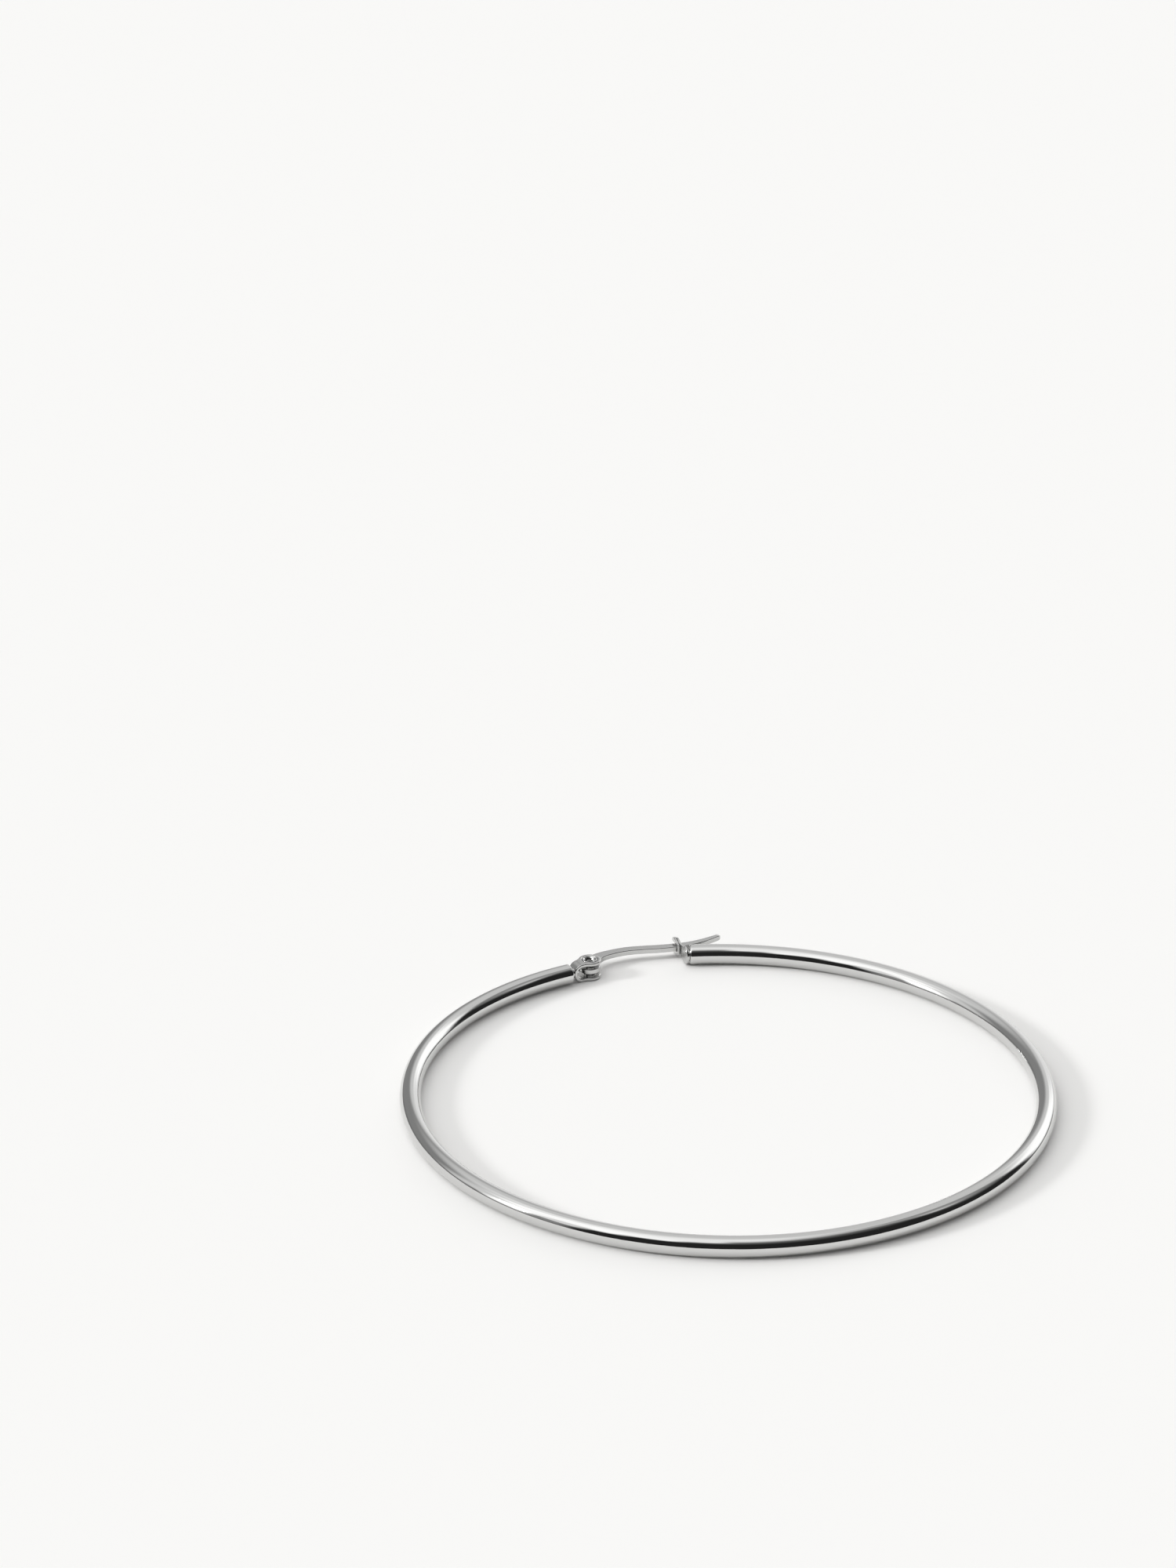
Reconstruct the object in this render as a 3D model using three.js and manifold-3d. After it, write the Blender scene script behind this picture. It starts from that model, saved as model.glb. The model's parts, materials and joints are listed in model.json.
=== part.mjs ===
// Hinged hoop earring in polished steel: a hollow round tube bent to a C, a folded clevis with a tubular rivet at one
// end of the gap, a flat arched lever that turns on the rivet, and a folded fork at the other end that the lever drops
// into. Units are millimetres, +Z up, the hoop lying on its side with the clasp towards +Y.
//
// Everything is drawn about the hoop's own centre, with the middle of the gap on +Y and Z = 0 halfway up the tube.
// The group is then moved so that the origin is the middle of the underside of the whole earring's box.

import * as THREE from 'three';
import { mergeVertices } from 'three/addons/utils/BufferGeometryUtils.js';
import Module from 'manifold-3d';

const wasm = await Module();
wasm.setup();

// ---------------------------------------------------------------- driving dimensions

const HOOP = {
  centreRadius: 30, // to the middle of the tube
  tubeRadius: 1,
  boreRadius: 0.7,
  hingeGap: THREE.MathUtils.degToRad(12.5), // from the middle of the gap to the tube's end by the hinge
  catchGap: THREE.MathUtils.degToRad(12), // and to its end by the catch
  dip: 0.42, // how far the tube's end by the hinge is bent in towards the hoop's centre
  dipReach: THREE.MathUtils.degToRad(40), // and over how much of the hoop
  sides: 16,
  steps: 96,
};

const STEM = { radius: 0.5, depth: 1.6, sides: 16 }; // the round stems that sit in the ends of the tube

// Along: distance from the tube's end, along the tube. Out: distance from the tube's axis, away from the hoop's centre.
const BRACKET = {
  sheet: 0.34, // thickness of the folded strip
  floor: 0.3, // from the tube's end to the outside of the fold
  foldRadius: 0.86,
  halfHeight: 0.94,
  neckIn: -0.55, // the strip's edge towards the hoop's centre
  neckOut: 0.8, // and its edge away from it
  neckLengthIn: 1.3, // where each edge begins to curve from the neck to the eye
  neckLengthOut: 1,
  neckSwayIn: [1.58, -0.55], // and where that curve is drawn towards
  neckSwayOut: [1.27, 0.8],
  eyeAlong: 2.38,
  eyeOut: 0.32,
  eyeRadius: 1.14,
  eyeFrom: -2.05, // the round part of the ear, in radians from the direction out of the tube
  eyeTo: 2.39,
};

const RIVET = {
  shankRadius: 0.5,
  boreRadius: 0.4,
  flareRadius: 0.8,
  lipRadius: 0.73,
  halfLength: 0.92,
  shankHalfLength: 0.69,
  boreHalfLength: 0.59,
  clearance: 0.06, // to the clevis and to the lever
  countersinkRunOn: 0.2, // the countersinks run on past the ears' faces
  sides: 24,
};

const CATCH = {
  sheet: 0.22,
  rear: 5.84, // the middle of the strip's long leg
  front: 5.56, // the middle of its short leg, towards the hinge
  footTuck: 0.06, // how far the foot curls back under the tube's end
  footBottom: 28.46,
  footStraight: 29.2,
  foldCentre: 32.25,
  frontEnd: 30.55,
  footHalfWidth: 0.92,
  footCentre: 29.4,
  waistHalfWidth: 0.55,
  waist: 30.64,
  waistPull: 0.3, // how soon the straight taper bends at either end of it
  forkHalfWidth: 0.82,
  forkWidest: 31.7,
  forkPull: 0.45,
  shoulder: 32.24,
  tipHalfWidth: 0.54,
  tip: 32.5,
  slotHalfWidth: 0.33,
  slotBottom: 30.72,
};

const LEVER = {
  thickness: 0.54,
  headRadius: 1.05,
  // Edge away from the hoop's centre, from the heel to the thumb tip.
  outerEdge: [
    [-5.41, 30.46],
    [-4.71, 31.1],
    [-3.3, 31.72],
    [-1.0, 32.36],
    [0.8, 32.48],
    [2.6, 32.23],
    [4.5, 31.83],
    [6.5, 31.7],
    [8.5, 31.96],
    [9.95, 32.37],
  ],
  // Edge towards the hoop's centre, from the thumb tip back to the head.
  innerEdge: [
    [10.34, 32.12],
    [8.7, 31.32],
    [6.8, 30.98],
    [5.0, 30.98],
    [3.4, 31.19],
    [1.6, 31.51],
    [0.2, 31.58],
    [-1.2, 31.36],
    [-2.2, 30.92],
    [-2.8, 30.2],
  ],
  tipPull: [10.36, 32.45], // the corner that the rounded tip is drawn towards
  heelFoot: [-5.16, 30.01],
  heelPull: [-5.47, 30.19],
};

const STEEL = { color: 0xd6d7d8, metalness: 1, roughness: 0.12 };
const SATIN_STEEL = { color: 0xc4c5c6, metalness: 1, roughness: 0.28 };

// ---------------------------------------------------------------- solids

function toSolid(geometry) {
  const bare = geometry.clone();
  bare.deleteAttribute('normal');
  bare.deleteAttribute('uv');
  const merged = mergeVertices(bare, 1e-5);
  return new wasm.Manifold(
    new wasm.Mesh({
      numProp: 3,
      vertProperties: Float32Array.from(merged.attributes.position.array),
      triVerts: Uint32Array.from(merged.index.array),
    }),
  );
}

function toMesh(name, solid, finish) {
  const { vertProperties, triVerts } = solid.getMesh();
  const geometry = new THREE.BufferGeometry();
  geometry.setAttribute('position', new THREE.BufferAttribute(vertProperties, 3));
  geometry.setIndex(new THREE.BufferAttribute(triVerts, 1));
  geometry.computeVertexNormals();
  const mesh = new THREE.Mesh(geometry, new THREE.MeshStandardMaterial(finish));
  mesh.name = name;
  return mesh;
}

// A slab of the given outline, standing on both sides of its own plane, carried into place by a matrix.
function slab(outline, thickness, placement = new THREE.Matrix4(), curveSegments = 8) {
  const geometry = new THREE.ExtrudeGeometry(outline, { depth: thickness, bevelEnabled: false, curveSegments });
  geometry.translate(0, 0, -thickness / 2);
  return toSolid(geometry.applyMatrix4(placement));
}

// A round rod or hole between two points.
function rod(from, to, radius, sides) {
  const axis = new THREE.Vector3().subVectors(to, from);
  const geometry = new THREE.CylinderGeometry(radius, radius, axis.length(), sides);
  const turn = new THREE.Quaternion().setFromUnitVectors(new THREE.Vector3(0, 1, 0), axis.clone().normalize());
  const middle = new THREE.Vector3().addVectors(from, to).multiplyScalar(0.5);
  return toSolid(geometry.applyMatrix4(new THREE.Matrix4().compose(middle, turn, new THREE.Vector3(1, 1, 1))));
}

// A solid of revolution about Z from a closed profile of [radius, height] pairs.
function turned(profile, sides) {
  const closed = [...profile, profile[0]].map(([radius, height]) => new THREE.Vector2(radius, height));
  return toSolid(new THREE.LatheGeometry(closed, sides).rotateX(Math.PI / 2));
}

// ---------------------------------------------------------------- places on the hoop

// Distance of the tube's middle from the hoop's centre, at an angle from the tube's end by the hinge.
function middleRadius(fromHinge) {
  const left = Math.max(0, 1 - fromHinge / HOOP.dipReach);
  return HOOP.centreRadius - HOOP.dip * left * left;
}

// The frame at one end of the tube: x runs out of the tube's end, y away from the hoop's centre, z across the plane.
function tubeEnd(side) {
  const angle = Math.PI / 2 - side * (side < 0 ? HOOP.hingeGap : HOOP.catchGap);
  const radius = side < 0 ? middleRadius(0) : HOOP.centreRadius;
  const lean = side < 0 ? Math.atan((2 * HOOP.dip) / HOOP.dipReach / radius) : 0;
  const out = new THREE.Vector3(Math.cos(angle - lean), Math.sin(angle - lean), 0);
  const along = new THREE.Vector3(-side * out.y, side * out.x, 0);
  const up = new THREE.Vector3().crossVectors(along, out);
  const middle = new THREE.Vector3(Math.cos(angle), Math.sin(angle), 0).multiplyScalar(radius);
  return new THREE.Matrix4().makeBasis(along, out, up).setPosition(middle);
}

const HINGE_END = tubeEnd(-1);
const CATCH_END = tubeEnd(1);
const PIVOT = new THREE.Vector3(BRACKET.eyeAlong, BRACKET.eyeOut, 0).applyMatrix4(HINGE_END);

// The stem that sits in the tube and comes out of its end as far as `outerEnd`.
function stem(end, outerEnd) {
  const inside = new THREE.Vector3(-STEM.depth, 0, 0).applyMatrix4(end);
  const outside = new THREE.Vector3(outerEnd, 0, 0).applyMatrix4(end);
  return rod(inside, outside, STEM.radius, STEM.sides);
}

// ---------------------------------------------------------------- hoop tube

class HoopArc extends THREE.Curve {
  getPoint(t, target = new THREE.Vector3()) {
    const fromHinge = t * (2 * Math.PI - HOOP.hingeGap - HOOP.catchGap);
    const angle = Math.PI / 2 + HOOP.hingeGap + fromHinge;
    return target.set(Math.cos(angle), Math.sin(angle), 0).multiplyScalar(middleRadius(fromHinge));
  }
}

function hoopTube() {
  const section = new THREE.Shape().absarc(0, 0, HOOP.tubeRadius, 0, 2 * Math.PI, false);
  section.holes.push(new THREE.Path().absarc(0, 0, HOOP.boreRadius, 0, 2 * Math.PI, true));
  const geometry = new THREE.ExtrudeGeometry(section, {
    steps: HOOP.steps,
    curveSegments: HOOP.sides / 2,
    extrudePath: new HoopArc(),
  });
  return toMesh('hoop_tube', toSolid(geometry), STEEL);
}

// ---------------------------------------------------------------- hinge bracket and rivet

// The strip seen edge on: a U lying on its side, its rounded fold by the tube's end and its two legs along the lever.
function foldedStrip() {
  const { sheet, floor, foldRadius, halfHeight, eyeAlong, eyeRadius } = BRACKET;
  const far = eyeAlong + 2 * eyeRadius; // past the eye, which cuts the legs to length
  const inner = foldRadius - sheet;
  const u = new THREE.Shape();
  u.moveTo(far, halfHeight);
  u.lineTo(floor + foldRadius, halfHeight);
  u.absarc(floor + foldRadius, halfHeight - foldRadius, foldRadius, Math.PI / 2, Math.PI, false);
  u.absarc(floor + foldRadius, foldRadius - halfHeight, foldRadius, Math.PI, 1.5 * Math.PI, false);
  u.lineTo(far, -halfHeight);
  u.lineTo(far, sheet - halfHeight);
  u.absarc(floor + foldRadius, foldRadius - halfHeight, inner, 1.5 * Math.PI, Math.PI, true);
  u.absarc(floor + foldRadius, halfHeight - foldRadius, inner, Math.PI, Math.PI / 2, true);
  u.lineTo(far, halfHeight - sheet);
  u.closePath();
  return u;
}

// The strip seen flat: a straight neck that swells on both sides into a round eye.
function earOutline() {
  const { neckIn, neckOut, neckLengthIn, neckLengthOut, neckSwayIn, neckSwayOut } = BRACKET;
  const { eyeAlong, eyeOut, eyeRadius, eyeFrom, eyeTo } = BRACKET;
  const swellEnd = [eyeAlong + eyeRadius * Math.cos(eyeFrom), eyeOut + eyeRadius * Math.sin(eyeFrom)];
  const ear = new THREE.Shape();
  ear.moveTo(0, neckOut);
  ear.lineTo(0, neckIn);
  ear.lineTo(neckLengthIn, neckIn);
  ear.quadraticCurveTo(...neckSwayIn, ...swellEnd);
  ear.absarc(eyeAlong, eyeOut, eyeRadius, eyeFrom, eyeTo, false);
  ear.quadraticCurveTo(...neckSwayOut, neckLengthOut, neckOut);
  ear.closePath();
  return ear;
}

function hingeBracket() {
  const edgeOn = new THREE.Matrix4().makeRotationX(Math.PI / 2).premultiply(HINGE_END);
  const strip = slab(foldedStrip(), 4 * BRACKET.eyeRadius, edgeOn);
  const ears = slab(earOutline(), 3 * BRACKET.halfHeight, HINGE_END, 10);
  const { shankRadius, shankHalfLength, flareRadius, halfLength, clearance, countersinkRunOn } = RIVET;
  const slope = (flareRadius - shankRadius) / (halfLength - shankHalfLength);
  const mouth = halfLength + countersinkRunOn;
  const wide = flareRadius + clearance + slope * countersinkRunOn;
  const narrow = shankRadius + clearance;
  const countersink = turned(
    [
      [0, -mouth],
      [wide, -mouth],
      [narrow, -shankHalfLength],
      [narrow, shankHalfLength],
      [wide, mouth],
      [0, mouth],
    ],
    RIVET.sides,
  ).translate(PIVOT.toArray());
  const solid = strip
    .intersect(ears)
    .subtract(countersink)
    .add(stem(HINGE_END, BRACKET.floor + BRACKET.sheet / 2));
  return toMesh('hinge_bracket', solid, SATIN_STEEL);
}

function rivet() {
  const { shankRadius, boreRadius, flareRadius, lipRadius, halfLength, shankHalfLength, boreHalfLength } = RIVET;
  const half = [
    [shankRadius, shankHalfLength],
    [flareRadius, halfLength],
    [lipRadius, halfLength],
    [boreRadius, boreHalfLength],
  ];
  const profile = [...half, ...half.map(([radius, height]) => [radius, -height]).reverse()];
  return toMesh('rivet', turned(profile, RIVET.sides).translate(PIVOT.toArray()), STEEL);
}

// ---------------------------------------------------------------- latch catch

// The strip seen edge on, in X and Y: up from the curled foot, over the hairpin fold and down the short front leg.
function hairpin() {
  const { sheet, rear, front, footTuck, footBottom, footStraight, foldCentre, frontEnd } = CATCH;
  const half = sheet / 2;
  const bend = (rear - front) / 2;
  const middle = (rear + front) / 2;
  const strip = new THREE.Shape();
  strip.moveTo(rear + half + footTuck, footBottom);
  strip.quadraticCurveTo(rear + half, (footBottom + footStraight) / 2, rear + half, footStraight);
  strip.lineTo(rear + half, foldCentre);
  strip.absarc(middle, foldCentre, bend + half, 0, Math.PI, false);
  strip.lineTo(front - half, frontEnd);
  strip.lineTo(front + half, frontEnd);
  strip.lineTo(front + half, foldCentre);
  strip.absarc(middle, foldCentre, bend - half, Math.PI, 0, true);
  strip.lineTo(rear - half, footStraight);
  strip.quadraticCurveTo(rear - half, (footBottom + footStraight) / 2, rear - half + footTuck, footBottom);
  strip.closePath();
  return strip;
}

// The strip seen flat, in Z and Y: a round foot over the tube's end, a waist and the fork's two prongs.
function forkOutline() {
  const { footHalfWidth, footCentre, waistHalfWidth, waist, waistPull } = CATCH;
  const { forkHalfWidth, forkWidest, forkPull, shoulder, tipHalfWidth, tip, slotHalfWidth, slotBottom } = CATCH;
  const fork = new THREE.Shape();
  fork.moveTo(footHalfWidth, footCentre);
  fork.bezierCurveTo(
    footHalfWidth, footCentre + waistPull, waistHalfWidth, waist - waistPull, waistHalfWidth, waist,
  );
  fork.bezierCurveTo(
    waistHalfWidth, waist + forkPull, forkHalfWidth, forkWidest - forkPull, forkHalfWidth, forkWidest,
  );
  fork.quadraticCurveTo(forkHalfWidth, shoulder, tipHalfWidth, tip);
  fork.quadraticCurveTo(slotHalfWidth, tip, slotHalfWidth, shoulder);
  fork.lineTo(slotHalfWidth, slotBottom + slotHalfWidth);
  fork.absarc(0, slotBottom + slotHalfWidth, slotHalfWidth, 0, -Math.PI, true);
  fork.lineTo(-slotHalfWidth, shoulder);
  fork.quadraticCurveTo(-slotHalfWidth, tip, -tipHalfWidth, tip);
  fork.quadraticCurveTo(-forkHalfWidth, shoulder, -forkHalfWidth, forkWidest);
  fork.bezierCurveTo(
    -forkHalfWidth, forkWidest - forkPull, -waistHalfWidth, waist + forkPull, -waistHalfWidth, waist,
  );
  fork.bezierCurveTo(
    -waistHalfWidth, waist - waistPull, -footHalfWidth, footCentre + waistPull, -footHalfWidth, footCentre,
  );
  fork.absarc(0, footCentre, footHalfWidth, Math.PI, 2 * Math.PI, false);
  return fork;
}

function latchCatch() {
  const wide = 4 * CATCH.forkHalfWidth; // wider than either outline, which cut each other to shape
  const strip = slab(hairpin(), wide);
  const faceOn = new THREE.Matrix4().makeRotationY(Math.PI / 2).setPosition(CATCH.rear, 0, 0);
  const fork = slab(forkOutline(), wide, faceOn, 6);
  const plateMiddle = new THREE.Vector3(CATCH.rear, CATCH.footCentre, 0).applyMatrix4(CATCH_END.clone().invert());
  const solid = strip.intersect(fork).add(stem(CATCH_END, plateMiddle.x));
  return toMesh('latch_catch', solid, SATIN_STEEL);
}

// ---------------------------------------------------------------- latch lever

function latchLever() {
  const toPoints = (rows) => rows.map(([x, y]) => new THREE.Vector2(x, y));
  const outer = toPoints(LEVER.outerEdge);
  const inner = toPoints(LEVER.innerEdge);
  const arm = new THREE.Shape();
  arm.moveTo(outer[0].x, outer[0].y);
  arm.splineThru(outer.slice(1));
  arm.quadraticCurveTo(...LEVER.tipPull, inner[0].x, inner[0].y);
  arm.splineThru(inner.slice(1));
  arm.lineTo(PIVOT.x, PIVOT.y - LEVER.headRadius / 2);
  arm.lineTo(...LEVER.heelFoot);
  arm.quadraticCurveTo(...LEVER.heelPull, outer[0].x, outer[0].y);
  const reach = new THREE.Vector3(0, 0, LEVER.thickness);
  const below = PIVOT.clone().sub(reach);
  const above = PIVOT.clone().add(reach);
  const head = new THREE.Shape().absarc(PIVOT.x, PIVOT.y, LEVER.headRadius, 0, 2 * Math.PI, false);
  const hole = rod(below, above, RIVET.shankRadius + RIVET.clearance, RIVET.sides);
  const solid = slab(arm, LEVER.thickness, undefined, 4).add(slab(head, LEVER.thickness, undefined, 12)).subtract(hole);
  return toMesh('latch_lever', solid, SATIN_STEEL);
}

// ---------------------------------------------------------------- the earring

const earring = new THREE.Group();
earring.add(hoopTube(), hingeBracket(), rivet(), latchCatch(), latchLever());

const box = new THREE.Box3().setFromObject(earring);
const middle = box.getCenter(new THREE.Vector3());
earring.position.set(-middle.x, -middle.y, -box.min.z);

export default earring;
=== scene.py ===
"""Hinged hoop earring in polished steel, lying on its side on a pale floor.

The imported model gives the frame: every piece below is placed from the boxes of its nodes and from the pivot
of its joint. Sizes are in millimetres and are turned into metres where a mesh is made. Local axes at an end
of the tube are `along`, out of the tube's end, `out`, away from the hoop's centre, and `up`.
"""

import json
import logging
import math
from dataclasses import dataclass, field
from enum import Enum

import bpy
import numpy as np
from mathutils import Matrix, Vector


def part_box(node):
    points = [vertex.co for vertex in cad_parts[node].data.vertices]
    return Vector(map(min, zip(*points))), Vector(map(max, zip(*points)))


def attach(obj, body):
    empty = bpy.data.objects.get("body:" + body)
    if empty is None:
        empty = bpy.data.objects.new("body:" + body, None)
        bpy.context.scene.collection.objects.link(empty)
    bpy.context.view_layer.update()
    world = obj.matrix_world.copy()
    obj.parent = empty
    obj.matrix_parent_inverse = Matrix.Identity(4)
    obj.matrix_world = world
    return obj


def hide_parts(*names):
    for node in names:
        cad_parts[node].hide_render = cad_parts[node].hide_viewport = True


logging.basicConfig(level=logging.INFO, format="%(message)s")
log = logging.getLogger("earring")

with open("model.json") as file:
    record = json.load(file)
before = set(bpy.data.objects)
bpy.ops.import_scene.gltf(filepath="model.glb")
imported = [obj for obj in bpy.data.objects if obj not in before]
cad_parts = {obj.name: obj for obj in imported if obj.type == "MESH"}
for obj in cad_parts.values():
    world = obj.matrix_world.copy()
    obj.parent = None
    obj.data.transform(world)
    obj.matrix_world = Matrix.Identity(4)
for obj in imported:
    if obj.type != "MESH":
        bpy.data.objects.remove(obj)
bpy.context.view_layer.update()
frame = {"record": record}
MM = 0.001
MICRON = 1e-6
BURIED = 0.004  # millimetres by which a flat face lies under the one that it is soldered to
NEARLY = 0.98  # the largest share of half a width that a corner radius may take up
THINNEST = 1e-4  # millimetres that a strip keeps where its edges meet
RAYS = 180  # sections round a hole
Array = np.ndarray


# ------------------------------------------------------------------ surfaces


@dataclass
class Surface:
    """A closed surface.

    Args:
        vertices: points in millimetres, one row each.
        quads: four vertex numbers a row.
        triangles: three vertex numbers a row.
        uv: a point on the unrolled surface, in millimetres, for each vertex.
        polish: 1 where the surface is a polished edge and 0 on a satin face, for each vertex.
    """

    vertices: Array
    quads: Array
    triangles: Array
    uv: Array
    polish: Array

    def volume(self) -> float:
        """Returns the signed volume, which is positive when the faces point outwards."""
        v = self.vertices
        split = np.vstack([self.quads[:, [0, 1, 2]], self.quads[:, [0, 2, 3]], self.triangles])
        a, b, c = v[split[:, 0]], v[split[:, 1]], v[split[:, 2]]
        return float(np.einsum("ij,ij->", a, np.cross(b, c)) / 6)

    def outward(self) -> "Surface":
        """Returns the surface with its faces turned to point outwards."""
        if self.volume() < 0:
            self.quads = self.quads[:, ::-1]
            self.triangles = self.triangles[:, ::-1]
        return self


def loft(rings: Array, uv: Array, polish: Array, ring_closed: bool) -> Surface:
    """Joins a grid of points into a closed surface.

    The grid has one row for each ring and one column for each place round it. The columns always wrap
    round. The rows wrap round as well when `ring_closed` is true; if not, each end is closed by a fan to
    the ring's middle.

    Args:
        rings: points, as rows by columns by three.
        uv: unrolled points, as rows by columns by two.
        polish: polish of each point, as rows by columns.
        ring_closed: true where the last ring joins the first.

    Returns:
        The closed surface, with its faces outwards.
    """
    rows, columns = rings.shape[:2]
    number = np.arange(rows * columns).reshape(rows, columns)
    below = number if ring_closed else number[:-1]
    above = np.roll(number, -1, axis=0) if ring_closed else number[1:]
    quads = np.stack([below, np.roll(below, -1, 1), np.roll(above, -1, 1), above], -1).reshape(-1, 4)
    vertices, flat_uv, flat_polish = rings.reshape(-1, 3), uv.reshape(-1, 2), polish.reshape(-1)
    triangles = np.zeros((0, 3), int)
    if not ring_closed:
        middles = np.stack([rings[0].mean(0), rings[-1].mean(0)])
        vertices = np.vstack([vertices, middles])
        flat_uv = np.vstack([flat_uv, uv[0].mean(0), uv[-1].mean(0)])
        flat_polish = np.append(flat_polish, [polish[0].mean(), polish[-1].mean()])
        first, last = number[0], number[-1]
        start = np.stack([np.roll(first, -1), first, np.full(columns, rows * columns)], -1)
        finish = np.stack([last, np.roll(last, -1), np.full(columns, rows * columns + 1)], -1)
        triangles = np.vstack([start, finish])
    return Surface(vertices, quads, triangles, flat_uv, flat_polish).outward()


def make_piece(name: str, surfaces: list[Surface], material: bpy.types.Material) -> bpy.types.Object:
    """Puts closed surfaces into one mesh object with smooth shading.

    Args:
        name: the piece's name.
        surfaces: the closed surfaces, which may run into one another where metal is soldered.
        material: the finish.

    Returns:
        The object, at the origin.
    """
    starts = np.cumsum([0] + [len(s.vertices) for s in surfaces])
    vertices = np.vstack([s.vertices for s in surfaces]) * MM
    faces = []
    for surface, start in zip(surfaces, starts):
        faces += (surface.quads + start).tolist() + (surface.triangles + start).tolist()
    mesh = bpy.data.meshes.new(name)
    mesh.from_pydata(vertices.tolist(), [], faces)
    mesh.polygons.foreach_set("use_smooth", np.ones(len(faces), bool))
    corners = np.empty(len(mesh.loops), int)
    mesh.loops.foreach_get("vertex_index", corners)
    layer = mesh.uv_layers.new(name="unrolled")
    layer.data.foreach_set("uv", np.vstack([s.uv for s in surfaces])[corners].ravel())
    polish = mesh.attributes.new("polish", "FLOAT", "POINT")
    polish.data.foreach_set("value", np.concatenate([s.polish for s in surfaces]).astype(np.float32))
    mesh.materials.append(material)
    mesh.validate()
    mesh.update()
    piece = bpy.data.objects.new(name, mesh)
    bpy.context.collection.objects.link(piece)
    log.info("%s: %d faces", name, len(mesh.polygons))
    return piece


def unit(v: Array) -> Array:
    """Returns the rows of an array, each made one long."""
    return v / np.linalg.norm(v, axis=-1, keepdims=True)


def beside(first: Array | float, second: Array | float) -> Array:
    """Puts two arrays, or a number and an array, side by side as the columns of one."""
    return np.stack(np.broadcast_arrays(first, second), -1)


def circle(turn: Array | float) -> Array:
    """Returns the point of the unit circle in each direction."""
    return beside(np.cos(turn), np.sin(turn))


def way_along(points: Array) -> Array:
    """Returns how far along a path each of its points is."""
    return np.concatenate([[0], np.cumsum(np.linalg.norm(np.diff(points, axis=0), axis=1))])


def bow(first: Array, towards: Array, last: Array, t: Array) -> Array:
    """Draws a quadratic curve from a first point to a last one, drawn towards a third."""
    return (1 - t) ** 2 * first + 2 * t * (1 - t) * towards + t**2 * last


def smooth_curve(knots: Array, count: int) -> Array:
    """Carries a smooth curve through knots.

    Between two knots it is the cubic whose slope at each knot follows from both of its neighbours, counted
    by the length of the chords.

    Args:
        knots: points or values, one row each.
        count: how many rows to return.

    Returns:
        Points evenly spaced by the length of the chords.
    """
    knots = np.asarray(knots, float)
    at = way_along(knots[:, :2])
    slope = np.gradient(knots, at, axis=0)
    t = np.linspace(0, at[-1], count)
    i = np.clip(np.searchsorted(at, t, side="right") - 1, 0, len(at) - 2)
    step = (at[i + 1] - at[i])[:, None]
    s = ((t - at[i])[:, None]) / step
    return (
        (2 * s**3 - 3 * s**2 + 1) * knots[i]
        + (s**3 - 2 * s**2 + s) * step * slope[i]
        + (3 * s**2 - 2 * s**3) * knots[i + 1]
        + (s**3 - s**2) * step * slope[i + 1]
    )


def rounded_section(corner_steps: int = 7) -> tuple[Array, Array, Array]:
    """Describes a rectangle with round corners, to be stretched to any size.

    Each of its points is a corner of the rectangle plus a step of one corner radius towards the inside,
    plus the round's own direction. Two more points on each side, a third of a radius past the rounds, keep
    the sides flat.

    Args:
        corner_steps: points on each quarter circle.

    Returns:
        The corner signs, the offset in corner radii, and the polish, one row a point.
    """
    quarter = np.linspace(0, math.pi / 2, corner_steps)
    signs, offsets, polish = [], [], []
    for k, sign in enumerate([(1, 1), (-1, 1), (-1, -1), (1, -1)]):
        angle = quarter + k * math.pi / 2
        arc = circle(angle) - np.array(sign)
        turned_side = circle(k * math.pi / 2) / 3
        along_side = np.array([-turned_side[1], turned_side[0]])
        offsets += [arc[:1] - along_side, arc, arc[-1:] - turned_side]
        signs += [np.tile(sign, (corner_steps + 2, 1))]
        polish += [np.r_[0.0, np.ones(corner_steps), 0.0]]
    return np.vstack(signs).astype(float), np.vstack(offsets), np.concatenate(polish)


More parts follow.
